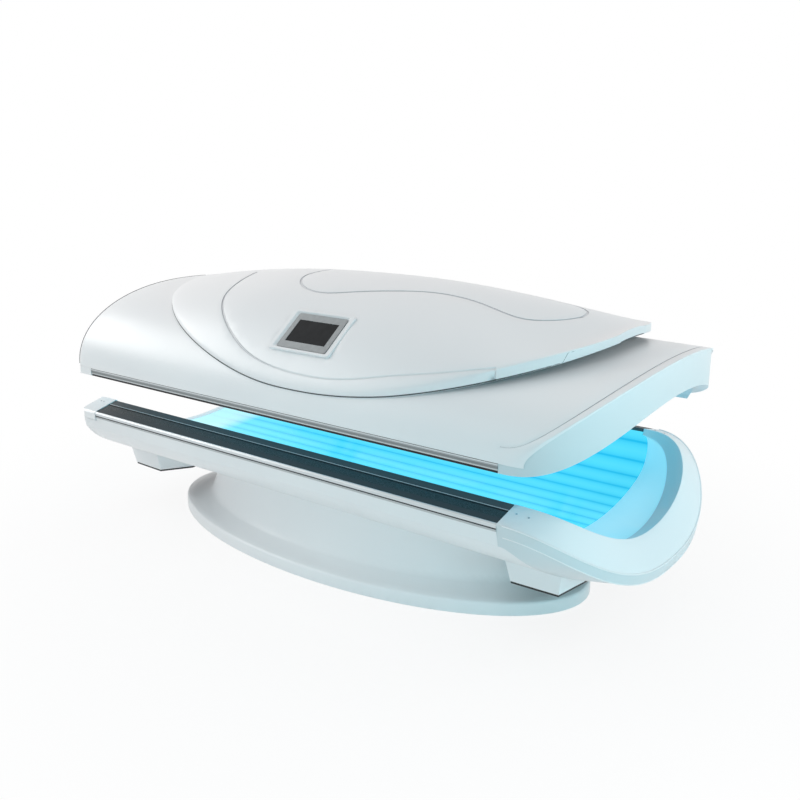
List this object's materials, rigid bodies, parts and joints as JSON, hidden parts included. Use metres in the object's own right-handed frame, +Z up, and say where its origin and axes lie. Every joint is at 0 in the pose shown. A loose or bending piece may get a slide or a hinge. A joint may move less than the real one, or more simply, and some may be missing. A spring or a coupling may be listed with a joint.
{
  "type": "sunbed",
  "caption": "Lie-down sunbed: lamp-lit trough bench on an oval pedestal under a hinged lamp canopy with a leaf-shaped top cover, display and gas springs.",
  "frame": {"origin": "on the floor, under the middle of the bench rails, at the centre of the oval base plate's underside", "axes": "+X along the bench towards the foot end, -Y towards the user's open side (the front), +Z up"},
  "size_m": [2.31, 1.1635, 1.0651],
  "materials": {
    "white_shell": "gloss white",
    "frame_steel": "satin grey",
    "rail_aluminium": "brushed",
    "strip_black": "fine texture",
    "seal_rubber": "matte",
    "acrylic": "clear",
    "mirror_sheet": "polished",
    "tube_glass": "frosted",
    "holder_plastic": "matte",
    "ballast_paint": "satin",
    "grille_black": "matte",
    "pin_steel": "bright",
    "bush_bronze": "satin",
    "spring_black": "gloss black",
    "rod_chrome": "polished",
    "display_grey": "satin grey",
    "display_black": "dark gloss"
  },
  "bodies": {
    "bench": {"pedestal_cover": "white_shell", "bench_shell": "white_shell", "head_housing": "white_shell", "foot_housing": "white_shell", "front_rail_cap": "white_shell", "back_rail_cap": "white_shell", "bench_head_rim": "white_shell", "bench_foot_rim": "white_shell", "base_plate": "frame_steel", "pedestal_frame": "frame_steel", "bench_beams": "frame_steel", "bench_ribs": "frame_steel", "hinge_brackets": "frame_steel", "front_rail": "rail_aluminium", "back_rail": "rail_aluminium", "front_rail_strip": "strip_black", "back_rail_strip": "strip_black", "bench_acrylic": "acrylic", "bench_reflector": "mirror_sheet", "bench_tubes": "tube_glass", "bench_tube_holders": "holder_plastic", "bench_ballasts": "ballast_paint", "head_intake_grille": "grille_black", "foot_intake_grille": "grille_black", "head_fan_frame": "grille_black", "foot_fan_frame": "grille_black", "mains_inlet": "grille_black", "hinge_pins": "pin_steel", "spring_foot_pins": "pin_steel", "rail_screws": "pin_steel", "housing_screws": "pin_steel"},
    "canopy": {"canopy_shell": "white_shell", "canopy_cover": "white_shell", "canopy_foot_moulding": "white_shell", "canopy_foot_lining": "white_shell", "canopy_head_panel": "white_shell", "canopy_front_cap": "white_shell", "canopy_back_cap": "white_shell", "display_bezel": "white_shell", "canopy_beams": "frame_steel", "canopy_ribs": "frame_steel", "canopy_arms": "frame_steel", "canopy_front_rail": "rail_aluminium", "canopy_back_rail": "rail_aluminium", "canopy_front_seal": "seal_rubber", "canopy_back_seal": "seal_rubber", "canopy_acrylic": "acrylic", "canopy_reflector": "mirror_sheet", "canopy_tubes": "tube_glass", "canopy_tube_holders": "holder_plastic", "display_frame": "display_grey", "display_glass": "display_black", "hinge_bushes": "bush_bronze", "spring_top_pins": "pin_steel"},
    "spring_cylinder_head": {"spring_cylinder_head": "spring_black"},
    "spring_cylinder_foot": {"spring_cylinder_foot": "spring_black"},
    "spring_rod_head": {"spring_rod_head": "rod_chrome"},
    "spring_rod_foot": {"spring_rod_foot": "rod_chrome"},
    "head_fan_rotor": {"head_fan_rotor": "grille_black"},
    "foot_fan_rotor": {"foot_fan_rotor": "grille_black"}
  },
  "joints": [
    {"name": "canopy_lift", "type": "hinge", "parent": "bench", "child": "canopy", "pos_m": [0, 0.565, 0.57522], "axis": [-1, 0, 0], "range_deg": [0, 40]},
    {"name": "head_spring_swing", "type": "hinge", "parent": "bench", "child": "spring_cylinder_head", "pos_m": [-0.6, 0.49071, 0.46913], "axis": [-1, 0, 0], "range_deg": [0, 20]},
    {"name": "head_rod_swing", "type": "hinge", "parent": "canopy", "child": "spring_rod_head", "pos_m": [-0.6, 0.505, 0.69], "axis": [-1, 0, 0], "range_deg": [-20, 0]},
    {"name": "foot_spring_swing", "type": "hinge", "parent": "bench", "child": "spring_cylinder_foot", "pos_m": [0.6, 0.49071, 0.46913], "axis": [-1, 0, 0], "range_deg": [0, 20]},
    {"name": "foot_rod_swing", "type": "hinge", "parent": "canopy", "child": "spring_rod_foot", "pos_m": [0.6, 0.505, 0.69], "axis": [-1, 0, 0], "range_deg": [-20, 0]},
    {"name": "head_fan_spin", "type": "hinge", "parent": "bench", "child": "head_fan_rotor", "pos_m": [-0.912, 0, 0.21], "axis": [0, 0, 1], "continuous": true},
    {"name": "foot_fan_spin", "type": "hinge", "parent": "bench", "child": "foot_fan_rotor", "pos_m": [0.912, 0, 0.21], "axis": [0, 0, 1], "continuous": true}
  ],
  "couplings": [
    {"joint": "head_spring_swing", "follows": "canopy_lift", "ratio": 0.5},
    {"joint": "head_rod_swing", "follows": "canopy_lift", "ratio": -0.5},
    {"joint": "foot_spring_swing", "follows": "canopy_lift", "ratio": 0.5},
    {"joint": "foot_rod_swing", "follows": "canopy_lift", "ratio": -0.5}
  ]
}
